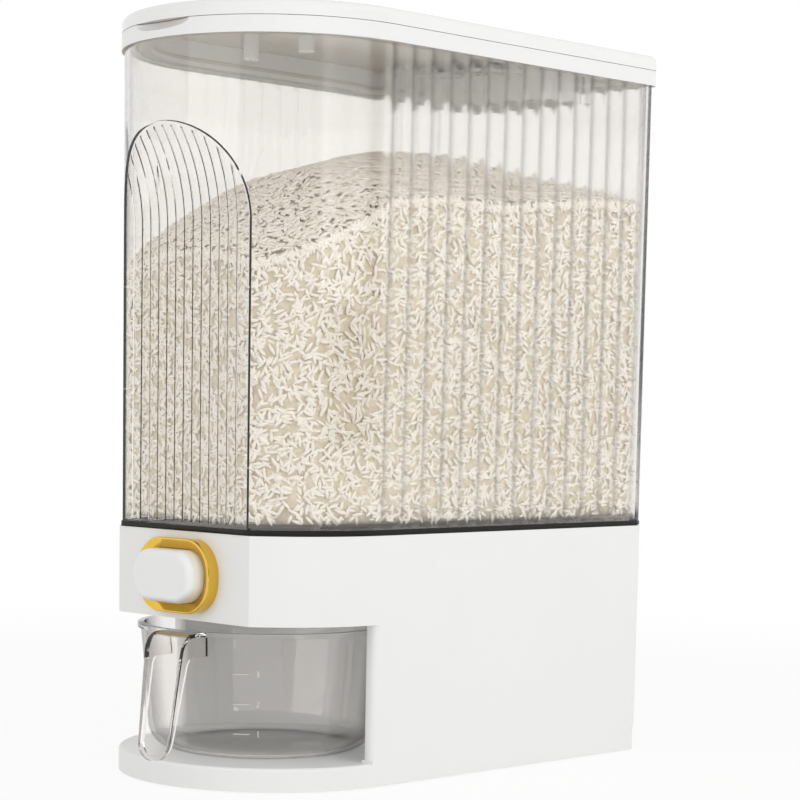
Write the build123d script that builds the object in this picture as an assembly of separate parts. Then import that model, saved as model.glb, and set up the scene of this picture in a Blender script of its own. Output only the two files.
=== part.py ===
from build123d import *
import math
import os

# Rice dispenser: clear hopper with a hinged lid over a white housing, a push button that opens
# a slide gate, and a clear cup in the alcove below. Millimetres, +Z up, origin at the centre of
# the footprint, nose towards -Y.

# Outline shared by every level: straight sides, round nose, small rear corners.
WIDTH = 180.0
DEPTH = 312.0
HEIGHT = 415.0
SIDE_LEAN = 5.5  # each side draws in by this much from the top to the floor
CORNER = 6.0
WALL = 2.6
GAP = 0.3  # between pieces that move past each other
FIT = 0.1  # between pieces that are put together
PIN_FIT = 0.03

# Levels
FEET_HEIGHT = 0.8
TRAY_TOP = 14.6
FLOOR_STEP = 1.4
TRAY_ROUND = 1.8
ALCOVE_TOP = 87.0
HOUSING_TOP = 134.4
SEAL_THICKNESS = 1.0
LID_DEPTH = 18.2
CREASE = 9.2

# Flat front band, cove and flutes
FACET_SETBACK = 19.3
COVE_DROP = 116.0
COVE_RADIUS = 90.0
COVE_SWEEP = 50.0
ARCH_ROUND = 1.2
FLUTES = 13
FLUTE_PITCH = 7.2
FLUTE_WIDTH = 1.2
FLUTE_DEPTH = 0.7
FLUTE_FOOT_GAP = 4.0
FLUTE_MARGIN = 3.4

# Hopper
HOPPER_INSET = 1.6
HOPPER_WALL = 2.6
HOPPER_FLANGE = 5.0
HOPPER_FLANGE_HEIGHT = 3.0
SCALLOPS = 15
SCALLOP_PITCH = 14.7
SCALLOP_RADIUS = 10.0
SCALLOP_DEPTH = 0.45
SEAL_INSET = 0.8
SEAL_WIDTH = 5.2

# Alcove and cup
ALCOVE_SIDE = 13.5
ALCOVE_CENTRE = -70.0
WALL_END_ROUND = 3.8
CUP_CENTRE = -73.0
CUP_SPACE = 7.9
CUP_LEAN = 7.4
CUP_HEIGHT = 68.8
CUP_CORNER = 15.0
CUP_WALL = 2.2
RIM_BEAD = 1.4
RIM_HEIGHT = 2.6
CUP_CLEARANCE = 0.2
HANDLE_TURN = 11.5
HANDLE_REACH = 18.0
HANDLE_FLARE = 9.2
HANDLE_TOP_DEPTH = 12.7
HANDLE_DEPTH = 5.0
HANDLE_TIP = 2.4
HANDLE_BEND = 11.0
HANDLE_TOP_WIDTH = 26.0
HANDLE_FOOT_WIDTH = 20.0
HANDLE_WALL = 2.2
HANDLE_DROP = 66.0

# Outlet, gate and button
OUTLET_WIDTH = 40.0
OUTLET_DEPTH = 11.0
OUTLET_CENTRE = -75.0
TRAVEL = 13.0
GATE_WIDTH = 56.0
GATE_THICKNESS = 2.0
GATE_CLEARANCE = 0.2
GATE_REACH = 25.0
RAIL_WIDTH = 4.8
GUIDE_PLATE = 1.9
GUIDE_LEAD = 23.0
GUIDE_BACK = -10.0
UPSTAND_HEIGHT = 7.2
UPSTAND_THICKNESS = 3.0
SPRING_RADIUS = 3.5
SPRING_WIRE = 0.8
SPRING_TURNS = 8
SPRING_PIN_RADIUS = 2.0
SPRING_PIN_LENGTH = 6.0
BUTTON_LEVEL = 110.8
BUTTON_WIDTH = 48.4
BUTTON_HEIGHT = 28.4
BUTTON_CORNER = 13.0
BUTTON_REACH = 16.0
BUTTON_ROUND = 4.0
BUTTON_WALL = 2.0
BEZEL_BAND = 5.5
BEZEL_REACH = 7.5
BEZEL_DISH = 2.2
BEZEL_CREST = 1.0
SLEEVE_WALL = 1.8
SLEEVE_DEPTH = 2.9
PLATE_WIDTH = 40.0
PLATE_HEIGHT = 30.0
PLATE_THICKNESS = 3.0
PLATE_FOOT_THICKNESS = 2.2
PEG_SPREAD = 24.0
PEG_RADIUS = 2.0
PEG_LENGTH = 6.0

# Funnel
FUNNEL_FLANGE = 3.0
FUNNEL_INSET = 2.9
FUNNEL_WALL = 2.4
FUNNEL_FRONT = -106.0
SPOUT_HEIGHT = 4.0
LEDGE_WIDTH = 3.0
LEDGE_HEIGHT = 2.5

# Lid
LID_ROUND = 4.5
SEAM = 0.3
LEG_WALL = 1.5
INNER_LEG = 2.0
WEB_INSET = 12.0
WEB_THICKNESS = 4.8
LEDGE_INSET = 16.0
LEDGE_DROP = 5.3
LEDGE_THICKNESS = 2.5
GASKET_WIDTH = 3.6
GASKET_HEIGHT = 2.0
PLUG_WALL = 2.4
BOSS_RADIUS = 4.35
BOSS_BORE = 1.6
BOSS_SPREAD = 46.0
BOSS_PLACE = -70.0
BOSS_DROP = 18.0
SCOOP_WIDTH = 52.0
SCOOP_DEPTH = 5.5
SCOOP_DROP = 4.9
POCKET_WIDTH = 46.0
POCKET_DEPTH = 8.0
HINGE_SPREAD = 100.0
KNUCKLE_RADIUS = 3.0
KNUCKLE_LENGTH = 8.0
SIDE_KNUCKLE = 6.0
PIN_RADIUS = 1.25
PIN_PLAY = 0.05
HINGE_CLEARANCE = 0.3

# Desiccant box
BOX_WIDTH = 88.0
BOX_DEPTH = 36.0
BOX_HEIGHT = 21.0
BOX_REAR = 136.0
BOX_WALL = 1.6
BOX_LIP = 2.0
BOX_TRAVEL = 40.0
RAIL_THICKNESS = 1.6
LOUVRES = 4
LOUVRE_PITCH = 7.4
LOUVRE_WIDTH = 3.0
LOUVRE_LEAN = 35.0
PULL_RADIUS = 10.0
PULL_REACH = 15.0
PULL_HOLE = 4.0
PULL_THICKNESS = 2.2
TAB_WIDTH = 13.0
TAB_REACH = 9.0
PULL_DROP = 5.0

# Feet and screws
FOOT_RADIUS = 7.0
FOOT_SEAT = 1.5
FOOT_INSET = 18.0
POST_WALL = 2.2
SCREW_RADIUS = 1.5
SCREW_HEAD_RADIUS = 3.0
SCREW_HEAD = 2.4
SCREW_REACH = 10.0
SMALL_SCREW_RADIUS = 1.0
SMALL_HEAD_RADIUS = 1.9
SMALL_HEAD = 1.2
RIB_THICKNESS = 1.6

# Worked out from the sizes above
LEAN_ANGLE = math.degrees(math.atan(SIDE_LEAN / HEIGHT))
NOSE_CENTRE = WIDTH / 2 - DEPTH / 2
HOPPER_FOOT = HOUSING_TOP + SEAL_THICKNESS
LID_FOOT = HEIGHT - LID_DEPTH
COVE_START = HEIGHT - COVE_DROP
COLLAR_TOP = HEIGHT - CREASE
COVER_FOOT = COLLAR_TOP + SEAM
WEB_FOOT = COLLAR_TOP - WEB_THICKNESS
CEILING = HEIGHT - WALL
BOSS_FOOT = HEIGHT - BOSS_DROP
ALCOVE_RADIUS = WIDTH / 2 - ALCOVE_SIDE
CUP_RIM_RADIUS = ALCOVE_RADIUS - CUP_SPACE
ALCOVE_FLOOR = TRAY_TOP - FLOOR_STEP
BAY_FLOOR = ALCOVE_TOP + WALL
GATE_FOOT = BAY_FLOOR + GATE_CLEARANCE
GATE_TOP = GATE_FOOT + GATE_THICKNESS
GUIDE_FOOT = GATE_TOP + GAP
GUIDE_TOP = GUIDE_FOOT + GUIDE_PLATE
SPOUT_TOP = GUIDE_TOP + SPOUT_HEIGHT
FUNNEL_SEAT = HOUSING_TOP - FUNNEL_FLANGE
BEZEL_WIDTH = BUTTON_WIDTH + 2 * GAP + 2 * BEZEL_BAND
BEZEL_HEIGHT = BUTTON_HEIGHT + 2 * GAP + 2 * BEZEL_BAND
CUP_TOP = ALCOVE_FLOOR + CUP_CLEARANCE + CUP_HEIGHT
SHELF_TOP = COLLAR_TOP - LEDGE_DROP
BOX_TOP = CEILING - RAIL_THICKNESS - GAP
BOX_FRONT = BOX_REAR - BOX_DEPTH
PULL_LEVEL = BOX_TOP - PULL_DROP
UPSTAND_TOP = GATE_TOP + UPSTAND_HEIGHT
HINGE_LEVEL = COLLAR_TOP + SEAM / 2
FAR = DEPTH


def half_width(level):
    return WIDTH / 2 - SIDE_LEAN * (HEIGHT - level) / HEIGHT


def half_depth(level):
    return DEPTH / 2 - SIDE_LEAN * (HEIGHT - level) / HEIGHT


def facet_place(level):
    return FACET_SETBACK - half_depth(level)


# The face of the button's wall at the middle of the button, and the back of the bezel's sleeve.
FACET = facet_place(BUTTON_LEVEL)
SLEEVE_BACK = FACET + SLEEVE_DEPTH
PLATE_FRONT = SLEEVE_BACK + GAP
PLATE_BACK = PLATE_FRONT + PLATE_THICKNESS
GATE_BACK = OUTLET_CENTRE + GATE_REACH
GUIDE_FRONT = OUTLET_CENTRE - GUIDE_LEAD
GUIDE_REAR_WALL = GUIDE_BACK - UPSTAND_THICKNESS
PLATE_FOOT_END = GUIDE_FRONT - TRAVEL - GAP
SPRING_LEVEL = GUIDE_TOP
HINGE_PLACE = half_depth(COLLAR_TOP) + HINGE_CLEARANCE


def outline(level, inset=0.0):
    half = half_width(level) - inset
    rear = half_depth(level) - inset
    nose = Pos(0, NOSE_CENTRE) * Circle(half)
    back = Pos(0, (rear + NOSE_CENTRE) / 2) * Rectangle(2 * half, rear - NOSE_CENTRE)
    shape = nose + back
    return fillet(shape.vertices().group_by(Axis.Y)[-1], CORNER)


# A drafted block between two levels, drawn in from the outer skin by the inset.
def block(bottom, top, inset=0.0):
    prism = extrude(outline(top, inset), amount=top - bottom, taper=LEAN_ANGLE)
    return Pos(0, 0, top) * Rot(0, 180, 0) * prism


# Everything in front of the flat facet and the cove above it, moved back by the shift.
def front_space(shift=0.0):
    start = (facet_place(COVE_START) + shift, COVE_START)
    foot = (facet_place(0) + shift, 0)
    facet = Line(foot, start)
    cove = JernArc(start, (-SIDE_LEAN, HEIGHT), COVE_RADIUS + shift, COVE_SWEEP)
    top = cove @ 1
    ahead = Polyline(top, (-FAR, top.Y), (-FAR, 0), foot)
    profile = Plane.YZ * make_face([facet, cove, *ahead.edges()])
    return extrude(profile, amount=WIDTH, both=True)


def band(bottom, top, outer, inner):
    return block(bottom, top, outer) - block(bottom - FIT, top + FIT, inner)


def tub(bottom, top, inset):
    return block(bottom, top, inset) - front_space(inset)


def tub_band(bottom, top, outer, inner):
    return tub(bottom, top, outer) - tub(bottom - FIT, top + FIT, inner)


def box(x0, x1, y0, y1, z0, z1):
    middle = Pos((x0 + x1) / 2, (y0 + y1) / 2, (z0 + z1) / 2)
    return middle * Box(abs(x1 - x0), abs(y1 - y0), abs(z1 - z0))


def post(x, y, bottom, top, radius):
    return Pos(x, y, (bottom + top) / 2) * Cylinder(radius, top - bottom)


# A rod along Y.
def rod(x, z, front, back, radius):
    return Pos(x, (front + back) / 2, z) * Rot(90, 0, 0) * Cylinder(radius, back - front)


# A rod along X.
def axle(x0, x1, y, z, radius):
    return Pos((x0 + x1) / 2, y, z) * Rot(0, 90, 0) * Cylinder(radius, x1 - x0)


# A rounded rectangle facing the front, centred on the button.
def front_shape(width, height, place):
    corner = BUTTON_CORNER + (height - BUTTON_HEIGHT) / 2
    face = Plane(origin=(0, place, BUTTON_LEVEL), x_dir=(1, 0, 0), z_dir=(0, -1, 0))
    return face * RectangleRounded(width, height, corner)


# The open space of the alcove: a round recess that runs out through the front and both sides.
def alcove(bottom, top, growth=0.0):
    recess = post(0, ALCOVE_CENTRE, bottom, top, ALCOVE_RADIUS + growth)
    return recess + box(-WIDTH, WIDTH, -FAR, ALCOVE_CENTRE + growth, bottom, top)


# The places of the base screws, in the tray and in the housing above it.
def screw_places():
    edge = WALL / 2 + SCREW_HEAD_RADIUS + POST_WALL
    side = half_width(TRAY_TOP) - edge
    rear = half_depth(TRAY_TOP) - edge
    front = ALCOVE_CENTRE + ALCOVE_RADIUS * math.sin(math.radians(45))
    return [(x, y) for x in (-side, side) for y in (front, rear)]


def foot_places():
    side = half_width(0) - FOOT_INSET
    rear = half_depth(0) - FOOT_INSET
    return [(x, y) for x in (-side, side) for y in (NOSE_CENTRE - FOOT_INSET, rear)]


def guide_screw_places():
    side = GATE_WIDTH / 2 + GATE_CLEARANCE + RAIL_WIDTH / 2
    inset = 2 * SMALL_HEAD_RADIUS
    return [(x, y) for x in (-side, side) for y in (GUIDE_FRONT + inset, GUIDE_BACK - inset)]


def plate_screw_places():
    return [(x, (PLATE_BACK + PLATE_FOOT_END) / 2) for x in (-PEG_SPREAD / 2, PEG_SPREAD / 2)]


def base_tray():
    shell = block(FEET_HEIGHT, TRAY_TOP) - alcove(ALCOVE_FLOOR, HEIGHT)
    step = shell.faces().filter_by(Axis.Z).sort_by(lambda face: abs(face.center().Z - ALCOVE_FLOOR))[0]
    shell = fillet(step.edges().sort_by(Axis.Y)[0], TRAY_ROUND)
    floor = ALCOVE_FLOOR - WALL
    shell -= block(FEET_HEIGHT - FIT, floor, WALL)
    for x in (-WIDTH / 4, 0, WIDTH / 4):
        shell += box(x - RIB_THICKNESS / 2, x + RIB_THICKNESS / 2, ALCOVE_CENTRE, half_depth(0) - WALL,
                     TRAY_TOP / 2 - WALL, floor)
    for x, y in foot_places():
        shell += post(x, y, FEET_HEIGHT, floor, FOOT_RADIUS + POST_WALL)
        shell -= post(x, y, FEET_HEIGHT - FIT, FEET_HEIGHT + FOOT_SEAT, FOOT_RADIUS + FIT)
    for x, y in screw_places():
        shell += post(x, y, FEET_HEIGHT, floor, SCREW_HEAD_RADIUS + POST_WALL)
        shell -= post(x, y, 0, floor - WALL, SCREW_HEAD_RADIUS + FIT)
        shell -= post(x, y, 0, HEIGHT, SCREW_RADIUS + FIT)
    return shell


def rubber_feet():
    return [post(x, y, 0, FEET_HEIGHT + FOOT_SEAT, FOOT_RADIUS) for x, y in foot_places()]


def base_screws():
    seat = ALCOVE_FLOOR - 2 * WALL
    screws = []
    for x, y in screw_places():
        head = post(x, y, seat - SCREW_HEAD, seat, SCREW_HEAD_RADIUS)
        screws.append(head + post(x, y, seat, TRAY_TOP + SCREW_REACH, SCREW_RADIUS))
    return screws


# Round the upright ends of the side walls, where the alcove runs out through the sides.
def wall_ends(shell):
    tall = [edge for edge in shell.edges() if edge.bounding_box().size.Z > (ALCOVE_TOP - TRAY_TOP) / 2]
    ends = [edge for edge in tall if abs(edge.center().Y - ALCOVE_CENTRE) < 1]
    return fillet(ends, WALL_END_ROUND)


def outlet(bottom, top, shift=0.0):
    middle = OUTLET_CENTRE - shift
    half = OUTLET_DEPTH / 2
    return box(-OUTLET_WIDTH / 2, OUTLET_WIDTH / 2, middle - half, middle + half, bottom, top)


def housing():
    shell = block(TRAY_TOP, HOUSING_TOP) - alcove(TRAY_TOP - FIT, ALCOVE_TOP)
    shell = wall_ends(shell) - front_space()
    shell -= tub(TRAY_TOP - FIT, HOUSING_TOP + FIT, WALL) - alcove(0, BAY_FLOOR, WALL)
    shell += tub_band(FUNNEL_SEAT - LEDGE_HEIGHT, FUNNEL_SEAT, WALL / 2, WALL + LEDGE_WIDTH)
    for x, y in screw_places():
        shell += post(x, y, TRAY_TOP, TRAY_TOP + SCREW_REACH + WALL, SCREW_HEAD_RADIUS + POST_WALL)
        shell -= post(x, y, 0, TRAY_TOP + SCREW_REACH + FIT, SCREW_RADIUS + PIN_FIT)
    shell -= outlet(0, HOUSING_TOP)
    for x, y in guide_screw_places():
        shell -= post(x, y, ALCOVE_TOP + WALL / 4, BAY_FLOOR + FIT, SMALL_SCREW_RADIUS + PIN_FIT)
    sleeve = 2 * (SLEEVE_WALL + GAP + FIT)
    hole = front_shape(BUTTON_WIDTH + sleeve, BUTTON_HEIGHT + sleeve, PLATE_FRONT)
    return shell - extrude(hole, amount=DEPTH / 2)


def funnel():
    half = half_width(HOUSING_TOP) - FUNNEL_INSET
    rear = half_depth(HOUSING_TOP) - FUNNEL_INSET
    rim = Pos(0, (rear + FUNNEL_FRONT) / 2) * Rectangle(2 * half, rear - FUNNEL_FRONT)
    slot = Pos(0, OUTLET_CENTRE) * Rectangle(OUTLET_WIDTH, OUTLET_DEPTH)
    skin = Pos(0, OUTLET_CENTRE) * Rectangle(OUTLET_WIDTH + 2 * FUNNEL_WALL, OUTLET_DEPTH + 2 * FUNNEL_WALL)
    outer = loft([(Pos(0, 0, SPOUT_TOP) * skin).face(), (Pos(0, 0, HOUSING_TOP) * rim).face()])
    raised = [(Pos(0, 0, SPOUT_TOP + FUNNEL_WALL) * slot).face(), (Pos(0, 0, HOUSING_TOP + FUNNEL_WALL) * rim).face()]
    edge = WALL + LEDGE_WIDTH + FIT
    inner = loft(raised) & block(SPOUT_TOP, HOUSING_TOP + 2 * FUNNEL_WALL, edge + FUNNEL_WALL)
    shape = tub(FUNNEL_SEAT, HOUSING_TOP, FUNNEL_INSET) + (outer & block(SPOUT_TOP, HOUSING_TOP, edge))
    shape += extrude(Pos(0, 0, GUIDE_TOP) * skin, amount=SPOUT_HEIGHT)
    return shape - inner - outlet(GUIDE_TOP - FIT, SPOUT_TOP + 2 * FUNNEL_WALL)


def gate_guide():
    half = GATE_WIDTH / 2 + GATE_CLEARANCE
    outer = half + RAIL_WIDTH
    guide = box(-outer, outer, GUIDE_FRONT, GUIDE_BACK, BAY_FLOOR, GUIDE_TOP)
    guide -= box(-half, half, GUIDE_FRONT - FIT, GUIDE_REAR_WALL, BAY_FLOOR - FIT, GUIDE_FOOT)
    window = GATE_BACK - UPSTAND_THICKNESS - GAP
    guide -= box(-half, half, window, GUIDE_REAR_WALL, BAY_FLOOR, GUIDE_TOP + FIT)
    guide += box(-PLATE_WIDTH / 2, PLATE_WIDTH / 2, GUIDE_REAR_WALL, GUIDE_BACK, BAY_FLOOR, UPSTAND_TOP)
    guide += rod(0, SPRING_LEVEL, GUIDE_REAR_WALL - SPRING_PIN_LENGTH, GUIDE_REAR_WALL, SPRING_PIN_RADIUS)
    guide -= outlet(BAY_FLOOR, HOUSING_TOP)
    for x, y in guide_screw_places():
        guide -= post(x, y, 0, HOUSING_TOP, SMALL_SCREW_RADIUS + PIN_FIT)
    return guide


def gate_slider():
    half = GATE_WIDTH / 2
    slider = box(-half, half, PLATE_BACK, GATE_BACK, GATE_FOOT, GATE_TOP)
    upstand = GATE_BACK - UPSTAND_THICKNESS
    slider += box(-PLATE_WIDTH / 2, PLATE_WIDTH / 2, upstand, GATE_BACK, GATE_FOOT, UPSTAND_TOP)
    slider += rod(0, SPRING_LEVEL, GATE_BACK, GATE_BACK + SPRING_PIN_LENGTH, SPRING_PIN_RADIUS)
    slider -= outlet(BAY_FLOOR, HOUSING_TOP, TRAVEL)
    for x, y in plate_screw_places():
        slider -= post(x, y, 0, HOUSING_TOP, SMALL_SCREW_RADIUS + PIN_FIT)
    return slider


def push_plate():
    half = PLATE_WIDTH / 2
    plate = box(-half, half, PLATE_FRONT, PLATE_BACK, GATE_FOOT, GATE_FOOT + PLATE_HEIGHT)
    plate += box(-half, half, PLATE_BACK, PLATE_FOOT_END, GATE_TOP, GATE_TOP + PLATE_FOOT_THICKNESS)
    for x in (-PEG_SPREAD / 2, PEG_SPREAD / 2):
        plate += rod(x, BUTTON_LEVEL, PLATE_FRONT - PEG_LENGTH, PLATE_FRONT, PEG_RADIUS)
    for x, y in plate_screw_places():
        plate -= post(x, y, 0, GATE_TOP + PLATE_FOOT_THICKNESS, SMALL_SCREW_RADIUS + PIN_FIT)
    return plate


# Pan-head screws that point down, one at each place.
def small_screws(places, seat, tip):
    screws = []
    for x, y in places:
        head = post(x, y, seat, seat + SMALL_HEAD, SMALL_HEAD_RADIUS)
        screws.append(head + post(x, y, tip, seat, SMALL_SCREW_RADIUS))
    return screws


def guide_screws():
    return small_screws(guide_screw_places(), GUIDE_TOP, ALCOVE_TOP + WALL / 4)


def plate_screws():
    return small_screws(plate_screw_places(), GATE_TOP + PLATE_FOOT_THICKNESS, GATE_FOOT)


def return_spring():
    length = GUIDE_REAR_WALL - GATE_BACK - SPRING_WIRE
    centre = (0, GATE_BACK + SPRING_WIRE / 2, SPRING_LEVEL)
    coil = Helix(length / SPRING_TURNS, length, SPRING_RADIUS - SPRING_WIRE / 2, centre, (0, 1, 0))
    section = Plane(coil @ 0, z_dir=coil % 0) * RegularPolygon(SPRING_WIRE / 2, 6)
    return sweep(section, path=coil, is_frenet=True)


def button_cap():
    depth = BUTTON_REACH + PLATE_FRONT - FACET
    cap = extrude(front_shape(BUTTON_WIDTH, BUTTON_HEIGHT, PLATE_FRONT), amount=depth)
    front = cap.faces().sort_by(Axis.Y)[0]
    cap = fillet(front.edges(), BUTTON_ROUND)
    inner_width = BUTTON_WIDTH - 2 * BUTTON_WALL
    inner_height = BUTTON_HEIGHT - 2 * BUTTON_WALL
    hollow = extrude(front_shape(inner_width, inner_height, PLATE_FRONT), amount=depth - BUTTON_ROUND)
    cap -= hollow
    for x in (-PEG_SPREAD / 2, PEG_SPREAD / 2):
        front_end = PLATE_FRONT - depth + BUTTON_WALL
        cap += rod(x, BUTTON_LEVEL, front_end, PLATE_FRONT, PEG_RADIUS + BUTTON_WALL)
        cap -= rod(x, BUTTON_LEVEL, PLATE_FRONT - PEG_LENGTH - FIT, PLATE_FRONT + FIT, PEG_RADIUS + PIN_FIT)
    return cap


def button_bezel():
    ring = extrude(front_shape(BEZEL_WIDTH, BEZEL_HEIGHT, SLEEVE_BACK), amount=SLEEVE_DEPTH + BEZEL_REACH)
    ring = fillet(ring.faces().sort_by(Axis.Y)[0].edges(), BEZEL_CREST) & front_space()
    sleeve = 2 * (SLEEVE_WALL + GAP)
    ring += extrude(front_shape(BUTTON_WIDTH + sleeve, BUTTON_HEIGHT + sleeve, SLEEVE_BACK), amount=SLEEVE_DEPTH + GAP)
    bore = front_shape(BUTTON_WIDTH + 2 * GAP, BUTTON_HEIGHT + 2 * GAP, SLEEVE_BACK)
    crest = 2 * BEZEL_CREST
    wide = front_shape(BEZEL_WIDTH - crest, BEZEL_HEIGHT - crest, FACET - BEZEL_REACH)
    narrow = front_shape(BUTTON_WIDTH + 2 * GAP, BUTTON_HEIGHT + 2 * GAP, FACET - BEZEL_REACH + BEZEL_DISH)
    return ring - extrude(bore, amount=DEPTH / 2) - loft([narrow.face(), wide.face()])


# The long sides are ribbed: shallow upright scallops inside the wall, drafted with it.
def scallops():
    bottom = HOPPER_FOOT + HOPPER_FLANGE_HEIGHT + SCALLOP_RADIUS / 2
    top = LID_FOOT
    middle = (bottom + top) / 2
    reach = half_width(middle) - HOPPER_INSET - HOPPER_WALL - SCALLOP_RADIUS + SCALLOP_DEPTH
    last = half_depth(middle) - SCALLOP_PITCH
    shapes = []
    for side in (-1, 1):
        for i in range(SCALLOPS):
            place = Pos(side * reach, last - i * SCALLOP_PITCH, middle)
            shapes.append(place * Rot(0, side * LEAN_ANGLE, 0) * Cylinder(SCALLOP_RADIUS, top - bottom))
    return shapes


# Thin upright grooves that run up the facet and on over the cove to the round nose.
def flutes():
    foot = HOPPER_FOOT + FLUTE_FOOT_GAP
    slots = []
    for i in range(FLUTES):
        x = (i - (FLUTES - 1) / 2) * FLUTE_PITCH
        slots.append(box(x - FLUTE_WIDTH / 2, x + FLUTE_WIDTH / 2, -FAR, NOSE_CENTRE, foot, HEIGHT))
    return Compound(slots) & front_space(FLUTE_DEPTH) & block(foot, LID_FOOT, FLUTE_MARGIN)


def hopper():
    body = block(HOPPER_FOOT, WEB_FOOT, HOPPER_INSET) - front_space()
    cut_faces = [face for face in body.faces() if abs(face.center().X) < 1 and face.center().Y < NOSE_CENTRE]
    cut_faces = [face for face in cut_faces if HOPPER_FOOT + 1 < face.center().Z < COVE_START + COVE_RADIUS]
    rims = [edge for face in cut_faces for edge in face.edges() if edge.bounding_box().size.Z > 1]
    body = body.fillet(ARCH_ROUND, rims)
    body -= flutes()
    inner = HOPPER_INSET + HOPPER_WALL
    hollow = block(HOPPER_FOOT + HOPPER_FLANGE_HEIGHT, WEB_FOOT + FIT, inner) - front_space(HOPPER_WALL)
    mouth = block(HOPPER_FOOT - FIT, HOPPER_FOOT + SCALLOP_RADIUS, HOPPER_INSET + HOPPER_FLANGE)
    body -= hollow
    body -= mouth - front_space(HOPPER_FLANGE)
    return body - scallops()


def hopper_seal():
    return tub_band(HOUSING_TOP, HOPPER_FOOT, SEAL_INSET, SEAL_INSET + SEAL_WIDTH)


def cup_form(inset):
    height = CUP_HEIGHT - inset
    cone = Cone(CUP_RIM_RADIUS - CUP_LEAN - inset, CUP_RIM_RADIUS - inset, height)
    cone = fillet(cone.edges().sort_by(Axis.Z)[0], CUP_CORNER - inset)
    return Pos(0, CUP_CENTRE, CUP_TOP - height / 2) * cone


# The handle is a channel that is open towards the cup: a web with a flange along each edge.
def handle():
    top = CUP_TOP - FIT
    foot = CUP_TOP - HANDLE_DROP
    reach = CUP_RIM_RADIUS + HANDLE_REACH
    tip = reach + HANDLE_FLARE
    root = CUP_RIM_RADIUS - CUP_LEAN
    bend = top - HANDLE_TOP_DEPTH
    points = [(-root, top), (-reach, top), (-tip, foot), (HANDLE_TIP - tip, foot), (HANDLE_DEPTH - reach, bend), (-root, bend)]
    side = make_face(Polyline(*points, close=True).edges())
    side = fillet(side.vertices().sort_by_distance((-reach, top))[0], HANDLE_BEND)
    side = fillet(side.vertices().sort_by_distance((HANDLE_DEPTH - reach, bend))[0], HANDLE_BEND / 2)
    wall = HANDLE_WALL
    behind = [(-root, top - wall), (wall - reach, top - wall), (wall - tip, foot + wall), (-root, foot + wall)]
    space = make_face(Polyline(*behind, close=True).edges())
    space = fillet(space.vertices().sort_by_distance((wall - reach, top - wall))[0], HANDLE_BEND - wall)
    outer = extrude(Plane.YZ * side, amount=WIDTH / 2, both=True) & extrude(handle_front(0), amount=DEPTH / 2)
    inner = extrude(Plane.YZ * space, amount=WIDTH / 2, both=True) & extrude(handle_front(wall), amount=DEPTH / 2)
    return Pos(0, CUP_CENTRE, 0) * Rot(0, 0, HANDLE_TURN) * (outer - inner)


# The front of the handle: it narrows downwards and ends in a half round.
def handle_front(inset):
    top = HANDLE_TOP_WIDTH / 2 - inset
    low = HANDLE_FOOT_WIDTH / 2 - inset
    foot = CUP_TOP - HANDLE_DROP + inset
    shape = make_face(Polyline((-top, CUP_TOP), (top, CUP_TOP), (low, foot), (-low, foot), close=True).edges())
    shape = fillet(shape.vertices().group_by(Axis.Y)[0], low - FIT)
    return Plane(origin=(0, 0, 0), x_dir=(1, 0, 0), z_dir=(0, -1, 0)) * shape


def cup():
    bead = Pos(0, CUP_CENTRE, CUP_TOP - RIM_HEIGHT / 2) * Cylinder(CUP_RIM_RADIUS + RIM_BEAD, RIM_HEIGHT)
    return cup_form(0) + bead + handle() - cup_form(CUP_WALL)


# Knuckles of the lid's hinges: the collar holds the middle one, the cover one on each side.
def middle_knuckles(radius, play=0.0):
    half = KNUCKLE_LENGTH / 2 + play
    return [axle(x - half, x + half, HINGE_PLACE, HINGE_LEVEL, radius) for x in hinge_places()]


def side_knuckles(radius, play=0.0):
    near = KNUCKLE_LENGTH / 2 + GAP - play
    far = KNUCKLE_LENGTH / 2 + GAP + SIDE_KNUCKLE + play
    places = [(x - far, x - near) for x in hinge_places()] + [(x + near, x + far) for x in hinge_places()]
    return [axle(start, end, HINGE_PLACE, HINGE_LEVEL, radius) for start, end in places]


def hinge_places():
    return (-HINGE_SPREAD / 2, HINGE_SPREAD / 2)


def pins(radius):
    half = KNUCKLE_LENGTH / 2 + GAP + SIDE_KNUCKLE
    return [axle(x - half, x + half, HINGE_PLACE, HINGE_LEVEL, radius) for x in hinge_places()]


def lid_collar():
    leg = HOPPER_INSET + HOPPER_WALL + 2 * FIT
    collar = band(LID_FOOT, COLLAR_TOP, 0, LEG_WALL)
    collar += band(WEB_FOOT, COLLAR_TOP, 0, WEB_INSET)
    collar += band(LID_FOOT, COLLAR_TOP, leg, leg + INNER_LEG)
    collar += band(SHELF_TOP - LEDGE_THICKNESS, COLLAR_TOP, WEB_INSET - WALL, WEB_INSET)
    collar += band(SHELF_TOP - LEDGE_THICKNESS, SHELF_TOP, WEB_INSET - WALL, LEDGE_INSET)
    bowl = scale(Sphere(1), by=(SCOOP_WIDTH / 2, SCOOP_DEPTH, SCOOP_DROP))
    collar -= Pos(0, -half_depth(COLLAR_TOP), COLLAR_TOP) * bowl
    collar += middle_knuckles(KNUCKLE_RADIUS)
    collar -= side_knuckles(KNUCKLE_RADIUS + GAP, GAP)
    return collar - pins(PIN_RADIUS + PIN_FIT)


def lid_gasket():
    outer = WEB_INSET + GAP
    return band(SHELF_TOP, SHELF_TOP + GASKET_HEIGHT, outer, outer + GASKET_WIDTH)


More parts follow.
